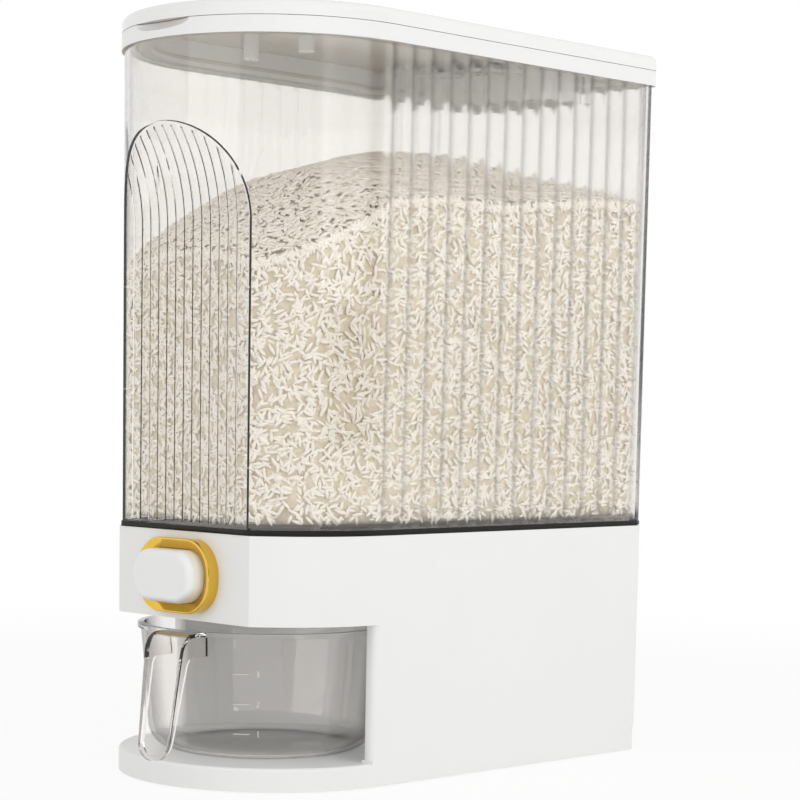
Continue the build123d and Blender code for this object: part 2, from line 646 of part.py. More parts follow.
def lid_cover():
    shell = block(COVER_FOOT, HEIGHT)
    shell = fillet(shell.faces().sort_by(Axis.Z)[-1].edges(), LID_ROUND)
    shell -= block(COVER_FOOT - FIT, CEILING, WALL)
    plug = WEB_INSET + 2 * GAP
    shell += band(SHELF_TOP + GASKET_HEIGHT + GAP, CEILING + FIT, plug, plug + PLUG_WALL)
    pocket = half_depth(HEIGHT) - POCKET_DEPTH
    pads = [box(-POCKET_WIDTH / 2, POCKET_WIDTH / 2, -FAR, -pocket, COVER_FOOT, CEILING + FIT)]
    half = POCKET_WIDTH / 4
    pads += [box(x - half, x + half, pocket, FAR, COVER_FOOT, CEILING + FIT) for x in hinge_places()]
    inside = block(COVER_FOOT, CEILING + FIT, WALL / 2)
    for pad in pads:
        shell += pad & inside
    for x in (-BOSS_SPREAD / 2, BOSS_SPREAD / 2):
        shell += post(x, BOSS_PLACE, BOSS_FOOT, CEILING + FIT, BOSS_RADIUS)
        shell -= post(x, BOSS_PLACE, BOSS_FOOT - FIT, CEILING - WALL, BOSS_BORE)
    shell += side_knuckles(KNUCKLE_RADIUS)
    shell -= middle_knuckles(KNUCKLE_RADIUS + GAP, GAP)
    shell -= pins(PIN_RADIUS + PIN_PLAY)
    for side in (-1, 1):
        near = side * (BOX_WIDTH / 2 + BOX_LIP + GAP)
        far = near + side * RAIL_THICKNESS
        hook = near - side * BOX_LIP
        foot = BOX_TOP - 2 * RAIL_THICKNESS - GAP
        shell += box(near, far, BOX_FRONT - BOX_TRAVEL, BOX_REAR, foot, CEILING + FIT)
        shell += box(hook, far, BOX_FRONT - BOX_TRAVEL, BOX_REAR, foot, foot + RAIL_THICKNESS)
    return shell


def hinge_pins():
    return pins(PIN_RADIUS)


def desiccant_box():
    half = BOX_WIDTH / 2
    grille_top = BOX_TOP - BOX_HEIGHT
    case = box(-half, half, BOX_FRONT, BOX_REAR, grille_top, BOX_TOP)
    front, rear = BOX_FRONT + BOX_WALL, BOX_REAR - BOX_WALL
    case -= box(BOX_WALL - half, half - BOX_WALL, front, rear, grille_top - FIT, BOX_TOP - BOX_WALL)
    lip_foot = BOX_TOP - RAIL_THICKNESS
    for side in (-1, 1):
        case += box(side * (half - FIT), side * (half + BOX_LIP), BOX_FRONT, BOX_REAR, lip_foot, BOX_TOP)
    tab = -half + PULL_RADIUS
    return case + box(tab, tab + TAB_WIDTH, BOX_FRONT - TAB_REACH, BOX_FRONT, PULL_LEVEL, PULL_LEVEL + BOX_WALL)


def desiccant_grille():
    half = BOX_WIDTH / 2
    top = BOX_TOP - BOX_HEIGHT
    plate = box(-half, half, BOX_FRONT, BOX_REAR, top - BOX_WALL, top)
    for i in range(LOUVRES):
        y = (BOX_FRONT + BOX_REAR) / 2 + (i - (LOUVRES - 1) / 2) * LOUVRE_PITCH
        slit = Box(BOX_WIDTH - 8 * BOX_WALL, LOUVRE_WIDTH, 4 * BOX_WALL)
        plate -= Pos(0, y, top - BOX_WALL / 2) * Rot(LOUVRE_LEAN, 0, 0) * slit
    return plate


def desiccant_pull():
    middle = BOX_FRONT - PULL_REACH / 2
    shape = Rectangle(2 * PULL_RADIUS, PULL_REACH)
    shape = fillet(shape.vertices().group_by(Axis.Y)[0], PULL_RADIUS - 2 * FIT)
    shape -= Pos(0, PULL_RADIUS - PULL_REACH / 2) * Circle(PULL_HOLE)
    return Pos(0, middle, PULL_LEVEL) * extrude(shape, amount=PULL_THICKNESS)


PIECES = (
    base_tray, rubber_feet, base_screws, housing, funnel, gate_guide, guide_screws, gate_slider, push_plate,
    plate_screws, return_spring, button_cap, button_bezel, hopper, hopper_seal, lid_collar, lid_gasket, lid_cover,
    hinge_pins, desiccant_box, desiccant_grille, desiccant_pull, cup,
)
os.makedirs("parts", exist_ok=True)
for piece in PIECES:
    shape = piece()
    if isinstance(shape, list):
        shape = Compound(children=shape)
    export_step(shape, f"parts/{piece.__name__}.step")
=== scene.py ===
import bpy, math
import numpy as np
from mathutils import Matrix, Vector
from mathutils.bvhtree import BVHTree


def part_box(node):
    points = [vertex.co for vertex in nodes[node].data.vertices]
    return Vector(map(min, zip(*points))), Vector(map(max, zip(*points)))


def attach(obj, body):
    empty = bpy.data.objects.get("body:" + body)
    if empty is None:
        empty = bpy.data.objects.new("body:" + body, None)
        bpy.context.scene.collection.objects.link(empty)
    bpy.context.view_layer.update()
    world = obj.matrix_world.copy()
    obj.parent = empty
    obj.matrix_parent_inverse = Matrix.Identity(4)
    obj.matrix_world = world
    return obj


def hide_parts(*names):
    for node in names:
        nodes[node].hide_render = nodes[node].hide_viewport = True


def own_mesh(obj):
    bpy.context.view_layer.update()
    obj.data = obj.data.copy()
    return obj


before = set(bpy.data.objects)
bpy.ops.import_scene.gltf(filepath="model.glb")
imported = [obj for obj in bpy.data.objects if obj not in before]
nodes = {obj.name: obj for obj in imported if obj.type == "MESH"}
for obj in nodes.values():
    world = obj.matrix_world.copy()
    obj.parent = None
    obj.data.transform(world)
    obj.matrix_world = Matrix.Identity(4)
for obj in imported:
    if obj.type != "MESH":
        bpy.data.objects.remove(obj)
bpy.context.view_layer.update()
mm = 0.001
white = (1, 1, 1, 1)
print("frame loaded:", len(nodes), "nodes")


def hexColour(text):
    channels = [int(text[i:i + 2], 16) / 255 for i in (1, 3, 5)]
    return [c / 12.92 if c < 0.04045 else ((c + 0.055) / 1.055) ** 2.4 for c in channels] + [1.0]


# Adds a node. An input is either a value or the output that is linked to it.
def addNode(tree, kind, inputs=None, **settings):
    node = tree.nodes.new(kind)
    for name, value in settings.items():
        setattr(node, name, value)
    for name, value in (inputs or {}).items():
        if isinstance(value, bpy.types.NodeSocket):
            tree.links.new(value, node.inputs[name])
        else:
            node.inputs[name].default_value = value
    return node


def newMaterial(name):
    material = bpy.data.materials.new(name)
    material.use_nodes = True
    material.node_tree.nodes.clear()
    return material, material.node_tree


# Shared by all solid finishes: the detail of the two noises, the part of the grain that moves the gloss, the
# grain's depth against its width, and how far down a face looks before it gets the painted underside shade.
solidShared = {"patchDetail": 3.0, "grainDetail": 2.0, "grainSpan": (0.3, 0.7), "grainDepth": 0.25,
               "undersideShadeSpan": (-0.3, -0.8)}


# A solid, opaque finish: its colour drifts over patches, and its grain moves the gloss and the relief.
def solidFinish(name, look):
    material, tree = newMaterial(name)
    coordinates = addNode(tree, "ShaderNodeTexCoord").outputs
    patches = addNode(tree, "ShaderNodeTexNoise", {
        "Vector": coordinates["Object"], "Scale": 1 / (look["patchMm"] * mm),
        "Detail": solidShared["patchDetail"]})
    grain = addNode(tree, "ShaderNodeTexNoise", {
        "Vector": coordinates["Object"], "Scale": 1 / (look["grainMm"] * mm),
        "Detail": solidShared["grainDetail"]})
    tint = addNode(tree, "ShaderNodeMix", {
        0: patches.outputs["Fac"], 6: hexColour(look["colour"]), 7: hexColour(look["drift"])},
        data_type="RGBA")
    colour = tint.outputs[2]
    # Faces that look down get a painted shade colour, standing in for the shade that falls under things.
    if "paintedUndersideShade" in look:
        facing = addNode(tree, "ShaderNodeSeparateXYZ", {0: coordinates["Normal"]})
        under = addNode(tree, "ShaderNodeMapRange", {
            "Value": facing.outputs["Z"],
            "From Min": solidShared["undersideShadeSpan"][0], "From Max": solidShared["undersideShadeSpan"][1]})
        shaded = addNode(tree, "ShaderNodeMix", {
            0: under.outputs["Result"], 6: colour, 7: hexColour(look["paintedUndersideShade"])}, data_type="RGBA")
        colour = shaded.outputs[2]
    gloss = addNode(tree, "ShaderNodeMapRange", {
        "Value": grain.outputs["Fac"],
        "From Min": solidShared["grainSpan"][0], "From Max": solidShared["grainSpan"][1],
        "To Min": look["roughness"][0], "To Max": look["roughness"][1]})
    relief = addNode(tree, "ShaderNodeBump", {
        "Height": grain.outputs["Fac"], "Strength": look["relief"],
        "Distance": look["grainMm"] * mm * solidShared["grainDepth"]})
    shader = addNode(tree, "ShaderNodeBsdfPrincipled", {
        "Base Color": colour, "Roughness": gloss.outputs["Result"], "Normal": relief.outputs["Normal"],
        **look["sockets"]})
    addNode(tree, "ShaderNodeOutputMaterial", {"Surface": shader.outputs["BSDF"]})
    return material


# Shared by the clear finishes: the ripple's detail and height, and the samples that round off the ribs.
clearShared = {"rippleDetail": 1.0, "rippleHeightMm": 0.5, "roundSamples": 4}


# A clear moulding: pale face on, deeper where the eye looks along its wall. It lets light through to what
# it holds.
def clearFinish(name, look):
    material, tree = newMaterial(name)
    place = addNode(tree, "ShaderNodeTexCoord").outputs["Object"]
    slope = addNode(tree, "ShaderNodeLayerWeight", {"Blend": look["edgeBlend"]})
    tint = addNode(tree, "ShaderNodeValToRGB", {"Fac": slope.outputs["Facing"]})
    stops = tint.color_ramp.elements
    stops[0].position, stops[0].color = look["edgeFrom"], hexColour(look["face"])
    stops[1].position, stops[1].color = look["edgeTo"], hexColour(look["edge"])
    ripple = addNode(tree, "ShaderNodeTexNoise", {
        "Vector": place, "Scale": 1 / (look["rippleMm"] * mm), "Detail": clearShared["rippleDetail"]})
    gloss = addNode(tree, "ShaderNodeMapRange", {
        "Value": ripple.outputs["Fac"], "To Min": look["roughness"][0], "To Max": look["roughness"][1]})
    # Out beyond sideFromMm lie the long sides, whose shallow ribs are rounded off in the light, so that they
    # read as soft streaks.
    rounded = addNode(tree, "ShaderNodeBevel", {"Radius": look["ribRoundMm"] * mm},
                      samples=clearShared["roundSamples"])
    sharp = addNode(tree, "ShaderNodeNewGeometry")
    spot = addNode(tree, "ShaderNodeSeparateXYZ", {0: place})
    aside = addNode(tree, "ShaderNodeMath", {0: spot.outputs["X"]}, operation="ABSOLUTE")
    onSide = addNode(tree, "ShaderNodeMath", {
        0: aside.outputs[0], 1: look["sideFromMm"] * mm}, operation="GREATER_THAN")
    facing = addNode(tree, "ShaderNodeMix", {
        0: onSide.outputs[0], 4: sharp.outputs["Normal"], 5: rounded.outputs["Normal"]}, data_type="VECTOR")
    relief = addNode(tree, "ShaderNodeBump", {
        "Height": ripple.outputs["Fac"], "Strength": look["relief"],
        "Distance": clearShared["rippleHeightMm"] * mm, "Normal": facing.outputs[1]})
    path = addNode(tree, "ShaderNodeLightPath")
    lighting = addNode(tree, "ShaderNodeMath", {
        0: path.outputs["Is Shadow Ray"], 1: path.outputs["Is Diffuse Ray"]}, operation="MAXIMUM")
    solid = addNode(tree, "ShaderNodeMapRange", {
        "Value": lighting.outputs[0], "To Min": 1.0, "To Max": look["shade"]})
    shader = addNode(tree, "ShaderNodeBsdfPrincipled", {
        "Base Color": tint.outputs["Color"], "Roughness": gloss.outputs["Result"],
        "IOR": look["ior"], "Transmission Weight": 1.0,
        "Alpha": solid.outputs["Result"], "Normal": relief.outputs["Normal"]})
    addNode(tree, "ShaderNodeOutputMaterial", {"Surface": shader.outputs["BSDF"]})
    return material


# Injection moulded ABS with a fine spark-eroded skin: an even, soft white with a broad, gentle sheen.
# The real texture is about 0.1 mm and is drawn at 0.7 mm, so that it shows.
absMoulded = solidFinish("absMoulded", {
    "colour": "#ECECEB", "drift": "#E8E8E7", "patchMm": 70, "grainMm": 0.7, "relief": 0.05,
    "roughness": (0.34, 0.44), "sockets": {"IOR": 1.54}})
# The same ABS from a polished tool, for the button and the lid's visible cover: a tighter highlight, and a
# little painted grey shade on its underside, where the hopper's shade falls.
absGlossy = solidFinish("absGlossy", {
    "colour": "#EDEDEC", "drift": "#E9E9E8", "patchMm": 50, "grainMm": 1.2, "relief": 0.02,
    "roughness": (0.2, 0.27), "paintedUndersideShade": "#CBC4B9", "sockets": {"IOR": 1.54}})
# The same ABS for the collar and the desiccant box, with painted grey-beige shade on their undersides, where
# the hopper's shade falls.
absPaintedUndersideShade = solidFinish("absPaintedUndersideShade", {
    "colour": "#ECECEB", "drift": "#E8E8E7", "patchMm": 70, "grainMm": 0.7, "relief": 0.05,
    "roughness": (0.34, 0.44), "paintedUndersideShade": "#9A9082", "sockets": {"IOR": 1.54}})
# Moulded polypropylene of the inner works: a little waxy and greyer than the ABS.
polypropyleneMoulded = solidFinish("polypropyleneMoulded", {
    "colour": "#E9E8E4", "drift": "#E2E0DB", "patchMm": 30, "grainMm": 0.9, "relief": 0.06,
    "roughness": (0.42, 0.52), "sockets": {"IOR": 1.49}})
# Gold-plated, polished zinc: a warm mirror that picks up the studio.
goldPlatedPolished = solidFinish("goldPlatedPolished", {
    "colour": "#EEC95E", "drift": "#E2B441", "patchMm": 12, "grainMm": 1.6, "relief": 0.02,
    "roughness": (0.07, 0.12), "sockets": {"Metallic": 1.0}})
# Black moulded silicone: matt, with a faint bloom.
siliconeBlack = solidFinish("siliconeBlack", {
    "colour": "#090909", "drift": "#101010", "patchMm": 9, "grainMm": 0.8, "relief": 0.1,
    "roughness": (0.45, 0.6), "sockets": {"IOR": 1.41}})
# Natural moulded silicone of the lid's gasket: milky, soft to the eye.
siliconeNatural = solidFinish("siliconeNatural", {
    "colour": "#D9D6CE", "drift": "#CFCBC2", "patchMm": 12, "grainMm": 0.8, "relief": 0.06,
    "roughness": (0.4, 0.55), "sockets": {"IOR": 1.41, "Subsurface Weight": 0.15, "Subsurface Scale": 0.002}})
# Moulded rubber of the feet: dark grey and dull.
rubberMoulded = solidFinish("rubberMoulded", {
    "colour": "#2C2B2A", "drift": "#373634", "patchMm": 6, "grainMm": 0.6, "relief": 0.15,
    "roughness": (0.7, 0.85), "sockets": {"IOR": 1.52}})
# Turned and drawn stainless steel of screws, pins and spring: bright grey with fine drawing marks.
stainlessDrawn = solidFinish("stainlessDrawn", {
    "colour": "#B9BABB", "drift": "#A6A7A9", "patchMm": 3, "grainMm": 0.5, "relief": 0.06,
    "roughness": (0.22, 0.36), "sockets": {"Metallic": 1.0}})
# Moulded clear polycarbonate of the hopper: water-clear with smoky edges.
polycarbonateClear = clearFinish("polycarbonateClear", {
    "face": "#F8F6F3", "edge": "#4A4641", "edgeBlend": 0.5, "edgeFrom": 0.66, "edgeTo": 0.98,
    "ribRoundMm": 7.0, "sideFromMm": 74.0,
    "ior": 1.58, "roughness": (0.0, 0.03), "rippleMm": 26, "relief": 0.03, "shade": 0.01})
# Moulded clear styrene acrylonitrile of the cup: a warm smoky tint, nearly black where its wall is seen
# end on. It has no ribs to round off, so its sides start beyond it.
acrylonitrileClear = clearFinish("acrylonitrileClear", {
    "face": "#FBF9F7", "edge": "#141210", "edgeBlend": 0.5, "edgeFrom": 0.45, "edgeTo": 0.84,
    "ribRoundMm": 1.0, "sideFromMm": 200.0,
    "ior": 1.57, "roughness": (0.0, 0.02), "rippleMm": 18, "relief": 0.03, "shade": 0.015})

finishes = {
    "base_tray": absMoulded, "housing": absMoulded, "lid_collar": absPaintedUndersideShade, "lid_cover": absGlossy,
    "button_cap": absGlossy, "button_bezel": goldPlatedPolished, "funnel": polypropyleneMoulded,
    "gate_guide": polypropyleneMoulded, "gate_slider": polypropyleneMoulded,
    "push_plate": polypropyleneMoulded, "desiccant_box": absPaintedUndersideShade,
    "desiccant_grille": absPaintedUndersideShade, "desiccant_pull": absPaintedUndersideShade,
    "hopper": polycarbonateClear, "cup": acrylonitrileClear,
    "hopper_seal": siliconeBlack, "lid_gasket": siliconeNatural, "rubber_feet": rubberMoulded,
    "base_screws": stainlessDrawn, "guide_screws": stainlessDrawn, "plate_screws": stainlessDrawn,
    "return_spring": stainlessDrawn, "hinge_pins": stainlessDrawn}
for name, node in nodes.items():
    for slot in node.material_slots:
        slot.material = finishes[name]
print("finishes set on", len(finishes), "nodes")


def meshPiece(name, points, faces, material, body):
    mesh = bpy.data.meshes.new(name)
    mesh.from_pydata(points, [], faces)
    mesh.shade_smooth()
    piece = bpy.data.objects.new(name, mesh)
    bpy.context.scene.collection.objects.link(piece)
    mesh.materials.append(material)
    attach(piece, body)
    return piece


# Polished white rice: waxy grains, some glassy and greyer, over a body of painted tan shade that lies between
# them.
riceLook = {
    "grain": {"colour": "#FFFBF4", "drift": "#F0E7D9", "patchMm": 3.2, "grainMm": 0.8, "relief": 0.08,
              "roughness": (0.35, 0.5), "sockets": {"IOR": 1.5}},
    # The heap's body: cream with tan patches, painted shade for the gaps between the grains.
    "shade": {"colour": "#F2EADB", "drift": "#B8A888", "patchMm": 3, "grainMm": 2.2, "relief": 0.8,
              "roughness": (0.6, 0.8), "sockets": {"IOR": 1.5}},
    # The heap's surface: a round ridge that falls away, steeper in front and less at the back, with waves.
    "peak": (0.0, 0.02, 0.362), "ridgeRound": 0.025, "stretch": 0.62, "repose": 0.5,
    "frontFrom": -0.06, "frontFall": 0.4, "backFrom": 0.03, "backRise": 0.17,
    "waveHeight": 0.0016, "waveAcross": (41, 1.3), "waveAlong": (33, 0.4),
    # The heap's body: its foot, its distance behind the grains, the level at which the wall's plan is taken,
    # and its steps around, up and inwards.
    "foot": 0.1405, "skin": 0.0023, "planLevel": 0.25, "heapSteps": (144, 14, 14),
    # Grains on the wall, the first of which line the heap's brink: their levels and distance to the wall.
    "wallGrains": 19500, "wallAngles": 721, "aboveFoot": 0.001, "wallTop": 0.33, "wallGapMm": (1.3, 2.6),
    "brinkGrains": 1500, "brinkLevel": 0.3, "brinkMm": (0.1, 3.0),
    # Grains on top: the field that they fall in, their distance to the wall and how deep they lie.
    "topGrains": 10500, "topAcross": (-0.085, 0.085), "topAlong": (-0.145, 0.152), "topWallGap": 0.004,
    "topDepthMm": (-1.6, 0.2), "slopeStep": 0.002,
    # One grain: a spindle of five sides with three rings, each at a share of its reach and girth.
    "sides": 5, "rings": ((-0.72, 0.62), (0.0, 1.0), (0.72, 0.62)), "flatness": 0.82, "tilt": 0.16,
    "lengthMm": (5.6, 7.4), "widthMm": (2.0, 2.6), "seed": 11}
riceGrain = solidFinish("ricePolished", riceLook["grain"])
ricePaintedShade = solidFinish("ricePaintedShadeBetweenGrains", riceLook["shade"])
dice = np.random.default_rng(riceLook["seed"])
hopperMesh = nodes["hopper"].data
hopperWall = BVHTree.FromPolygons(
    [vertex.co for vertex in hopperMesh.vertices], [face.vertices for face in hopperMesh.polygons])


def riceHeight(x, y):
    look = riceLook
    across = math.hypot(x - look["peak"][0], (y - look["peak"][1]) * look["stretch"])
    height = look["peak"][2] - look["repose"] * math.hypot(across, look["ridgeRound"])
    height -= max(0.0, look["frontFrom"] - y) * look["frontFall"]
    height += max(0.0, y - look["backFrom"]) * look["backRise"]
    (acrossRate, acrossStart), (alongRate, alongStart) = look["waveAcross"], look["waveAlong"]
    wave = look["waveHeight"] * math.sin(acrossRate * x + acrossStart) * math.sin(alongRate * y + alongStart)
    return height + wave


# Where a level line from the hopper's middle meets its wall, and the wall's direction inwards.
def wallHit(angle, level):
    way = Vector((math.sin(angle), math.cos(angle), 0))
    point, normal, _, _ = hopperWall.ray_cast(Vector((0, 0, level)), way)
    return point, normal if normal.dot(way) < 0 else -normal


# The heap's own body, a skin's thickness inside the wall, with the grains laid over it.
def riceHeap():
    around, up, rings = riceLook["heapSteps"]
    foot, skin = riceLook["foot"], riceLook["skin"]
    points, faces = [], []
    for i in range(around):
        angle = 2 * math.pi * i / around
        wall, _ = wallHit(angle, riceLook["planLevel"])
        top = riceHeight(wall.x, wall.y) - skin
        for j in range(up + 1):
            point, normal = wallHit(angle, foot + (top - foot) * j / up)
            points.append(point + normal * skin)
        rim = points[-1]
        for j in range(1, rings):
            near = rim * (1 - j / rings)
            points.append(Vector((near.x, near.y, riceHeight(near.x, near.y) - skin)))
    column = up + rings
    points.append(Vector((0, 0, riceHeight(0, 0) - skin)))
    for i in range(around):
        here, there = i * column, (i + 1) % around * column
        for j in range(column - 1):
            faces.append((here + j, here + j + 1, there + j + 1, there + j))
        faces.append((here + column - 1, len(points) - 1, there + column - 1))
    faces.append(tuple(i * column for i in range(around)))
    return meshPiece("riceHeap", points, faces, ricePaintedShade, "body")


# Places for grains against the wall, spread evenly along its plan.
def wallSpots():
    look = riceLook
    angles = np.linspace(0, 2 * math.pi, look["wallAngles"])
    loop = np.array([wallHit(angle, look["planLevel"])[0][:2] for angle in angles])
    length = np.concatenate([[0], np.cumsum(np.linalg.norm(np.diff(loop, axis=0), axis=1))])
    spots = []
    while len(spots) < look["wallGrains"]:
        angle = float(np.interp(dice.uniform(0, length[-1]), length, angles))
        level = dice.uniform(look["foot"] + look["aboveFoot"], look["wallTop"])
        if len(spots) < look["brinkGrains"]:
            wall, _ = wallHit(angle, look["brinkLevel"])
            level = riceHeight(wall.x, wall.y) - dice.uniform(*look["brinkMm"]) * mm
        point, normal = wallHit(angle, level)
        if level < riceHeight(point.x, point.y):
            spots.append((point + normal * dice.uniform(*look["wallGapMm"]) * mm, normal))
    return spots


# Places for grains on the heap's surface, each with the direction that stands square on it.
def topSpots():
    look, step = riceLook, riceLook["slopeStep"]
    spots = []
    while len(spots) < look["topGrains"]:
        x, y = dice.uniform(*look["topAcross"]), dice.uniform(*look["topAlong"])
        level = riceHeight(x, y)
        wall, _ = wallHit(math.atan2(x, y), level)
        if math.hypot(x, y) > math.hypot(wall.x, wall.y) - look["topWallGap"]:
            continue
        square = Vector((riceHeight(x - step, y) - riceHeight(x + step, y),
                         riceHeight(x, y - step) - riceHeight(x, y + step), 2 * step)).normalized()
        spots.append((Vector((x, y, level)) + square * dice.uniform(*look["topDepthMm"]) * mm, square))
    return spots


# Every grain is turned and sized on its own, lies flat on what bears it, and is joined into one mesh.
def riceGrains(spots):
    sides, rings = riceLook["sides"], riceLook["rings"]
    shape = [(-1.0, 0, 0)]
    for reach, girth in rings:
        for k in range(sides):
            turn = 2 * math.pi * k / sides
            shape.append((reach, girth * math.cos(turn), girth * math.sin(turn)))
    shape.append((1.0, 0, 0))
    last = len(shape) - 1
    skin = []
    for k in range(sides):
        n = (k + 1) % sides
        skin += [(0, 1 + n, 1 + k), (last, last - sides + k, last - sides + n)]
        for r in range(len(rings) - 1):
            a = 1 + r * sides
            skin.append((a + k, a + n, a + n + sides, a + k + sides))
    shape = np.array(shape)
    points, faces = [], []
    for count, (spot, normal) in enumerate(spots):
        normal = np.array(normal)
        side = np.cross(normal, dice.normal(size=3))
        along = side / np.linalg.norm(side) + normal * dice.normal(0, riceLook["tilt"])
        along /= np.linalg.norm(along)
        second = np.cross(normal, along)
        second /= np.linalg.norm(second)
        third = np.cross(along, second)
        long = dice.uniform(*riceLook["lengthMm"]) / 2 * mm
        wide = dice.uniform(*riceLook["widthMm"]) / 2 * mm
        turned = np.outer(shape[:, 0] * long, along) + np.outer(shape[:, 1] * wide, second)
        points.append(turned + np.outer(shape[:, 2] * wide * riceLook["flatness"], third) + np.array(spot))
        faces += [tuple(count * len(shape) + i for i in face) for face in skin]
    return meshPiece("riceGrains", np.concatenate(points).tolist(), faces, riceGrain, "body")


riceHeap()
riceGrains(wallSpots() + topSpots())
print("rice filled in")

# The seal's lip, which wraps the foot of the hopper's flange and shows as the black line under it.
lipLook = {"levels": (0.1349, 0.1374), "behindMm": 0.05, "proudMm": 0.75, "roundMm": 0.4, "around": 360,
           "measureFrom": 0.4}


def sealLip():
    low, high = lipLook["levels"]
    inner, outer, soft = (lipLook[part] * mm for part in ("behindMm", "proudMm", "roundMm"))
    section = ((low, inner), (low, outer), (high - soft, outer), (high, outer - soft), (high, inner))
    points, faces = [], []
    for i in range(lipLook["around"]):
        angle = 2 * math.pi * i / lipLook["around"]
        way = Vector((math.sin(angle), math.cos(angle), 0))
        point, normal, _, _ = hopperWall.ray_cast(Vector((0, 0, high)) + way * lipLook["measureFrom"], -way)
        normal = Vector((normal.x, normal.y, 0)).normalized()
        points += [Vector((point.x, point.y, level)) + normal * out for level, out in section]
    size = len(section)
    for i in range(lipLook["around"]):
        here, there = i * size, (i + 1) % lipLook["around"] * size
        for k in range(size):
            n = (k + 1) % size
            faces.append((here + k, there + k, there + n, here + n))
    meshPiece("sealLip", points, faces, siliconeBlack, "body")


sealLip()
print("seal's lip added")

# The return spring is drawn anew, as a wound coil of wire.
springLook = {"turns": 8, "wireMm": 0.8, "travelMm": 13.0, "sides": 8, "stepsPerTurn": 20}


def returnSpring():
    low, high = (Vector(corner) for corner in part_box("return_spring"))
    wire = springLook["wireMm"] * mm / 2
    middle, radius = (low + high) / 2, (high.x - low.x) / 2 - wire
    length, sides = high.y - low.y - 2 * wire, springLook["sides"]
    steps = springLook["turns"] * springLook["stepsPerTurn"]
    points, faces = [], []
    for i in range(steps + 1):
        share = i / steps
        turn = 2 * math.pi * springLook["turns"] * share
        out = Vector((math.cos(turn), 0, math.sin(turn)))
        centre = Vector((middle.x, low.y + wire + length * share, middle.z)) + out * radius
        for k in range(sides):
            bend = 2 * math.pi * k / sides
            points.append(centre + out * wire * math.cos(bend) + Vector((0, wire * math.sin(bend), 0)))
    for i in range(steps):
        for k in range(sides):
            n = (k + 1) % sides
            faces.append((i * sides + k, i * sides + n, (i + 1) * sides + n, (i + 1) * sides + k))
    faces += [tuple(range(sides)), tuple(steps * sides + k for k in reversed(range(sides)))]
    piece = meshPiece("returnSpringCoil", points, faces, stainlessDrawn, "body")
    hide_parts("return_spring")
    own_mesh(piece)


returnSpring()
print("return spring wound")

# Raised scale moulded on the cup's wall: plain ticks and counting numbers. The wall's outside has the
# radius rim at the level top, round an axis at centre, and draws in by lean over its height.
scaleLook = {"turnDegrees": 38, "rim": 0.0686, "lean": 0.0074, "top": 0.0822, "height": 0.0688,
             "centre": -0.073, "levels": (0.0285, 0.0445, 0.0605), "tickMm": (9.0, 0.5), "tickSteps": 8,
             "proudMm": 0.25, "numberMm": 5.0, "numberGapMm": 9.0}
# The same clear resin, matt where the tool was etched, so that it reads as pale marks.
acrylonitrileEtched = solidFinish("acrylonitrileEtched", {
    "colour": "#D8D1CA", "drift": "#CFC8C0", "patchMm": 4, "grainMm": 0.6, "relief": 0.1,
    "roughness": (0.5, 0.6), "sockets": {"IOR": 1.57}})


def onCup(across, level, proud):
    look = scaleLook
    radius = look["rim"] - look["lean"] * (look["top"] - level) / look["height"] + proud
    angle = math.radians(look["turnDegrees"]) + across / radius
    return (radius * math.sin(angle), look["centre"] - radius * math.cos(angle), level)


def scaleTick(number, level):
    length, thick = (value * mm for value in scaleLook["tickMm"])
    steps = scaleLook["tickSteps"]
    points, faces = [], []
    for i in range(steps + 1):
        across = -length / 2 + length * i / steps
        for high in (-thick / 2, thick / 2):
            for proud in (0.0, scaleLook["proudMm"] * mm):
                points.append(onCup(across, level + high, proud))
    end = 4 * steps
    for a in range(0, end, 4):
        faces += [(a + 1, a + 5, a + 7, a + 3), (a + 2, a + 3, a + 7, a + 6),
                  (a, a + 4, a + 5, a + 1), (a, a + 2, a + 6, a + 4)]
    faces += [(0, 1, 3, 2), (end, end + 2, end + 3, end + 1)]
    meshPiece(f"cupTick{number}", points, faces, acrylonitrileEtched, "cup")


def scaleNumber(number, level):
    text = bpy.data.curves.new(f"cupNumber{number}", "FONT")
    text.body = str(number)
    text.size = scaleLook["numberMm"] * mm
    text.extrude = scaleLook["proudMm"] * mm / 2
    text.align_x = "CENTER"
    text.align_y = "CENTER"
    holder = bpy.data.objects.new("numberHolder", text)
    bpy.context.scene.collection.objects.link(holder)
    bpy.context.view_layer.update()
    mesh = bpy.data.meshes.new_from_object(holder.evaluated_get(bpy.context.evaluated_depsgraph_get()))
    bpy.data.objects.remove(holder)
    for vertex in mesh.vertices:
        x, y, z = vertex.co
        vertex.co = onCup(scaleLook["numberGapMm"] * mm + x, level + y, z + scaleLook["proudMm"] * mm / 2)
    mesh.materials.clear()
    mesh.materials.append(acrylonitrileEtched)
    piece = bpy.data.objects.new(f"cupNumber{number}", mesh)
    bpy.context.scene.collection.objects.link(piece)
    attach(piece, "cup")


for number, level in enumerate(scaleLook["levels"], start=1):
    scaleTick(number, level)
    scaleNumber(number, level)
print("cup's scale added")


# 1 for a ray that shows a thing to the eye, straight, mirrored or through a clear wall, and 0 for one
# that lights.
def seenByEye(tree, path):
    seen = addNode(tree, "ShaderNodeMath", {
        0: path.outputs["Is Camera Ray"], 1: path.outputs["Is Glossy Ray"]}, operation="MAXIMUM")
    seen = addNode(tree, "ShaderNodeMath", {
        0: seen.outputs[0], 1: path.outputs["Is Transmission Ray"]}, operation="MAXIMUM")
    return seen.outputs[0]


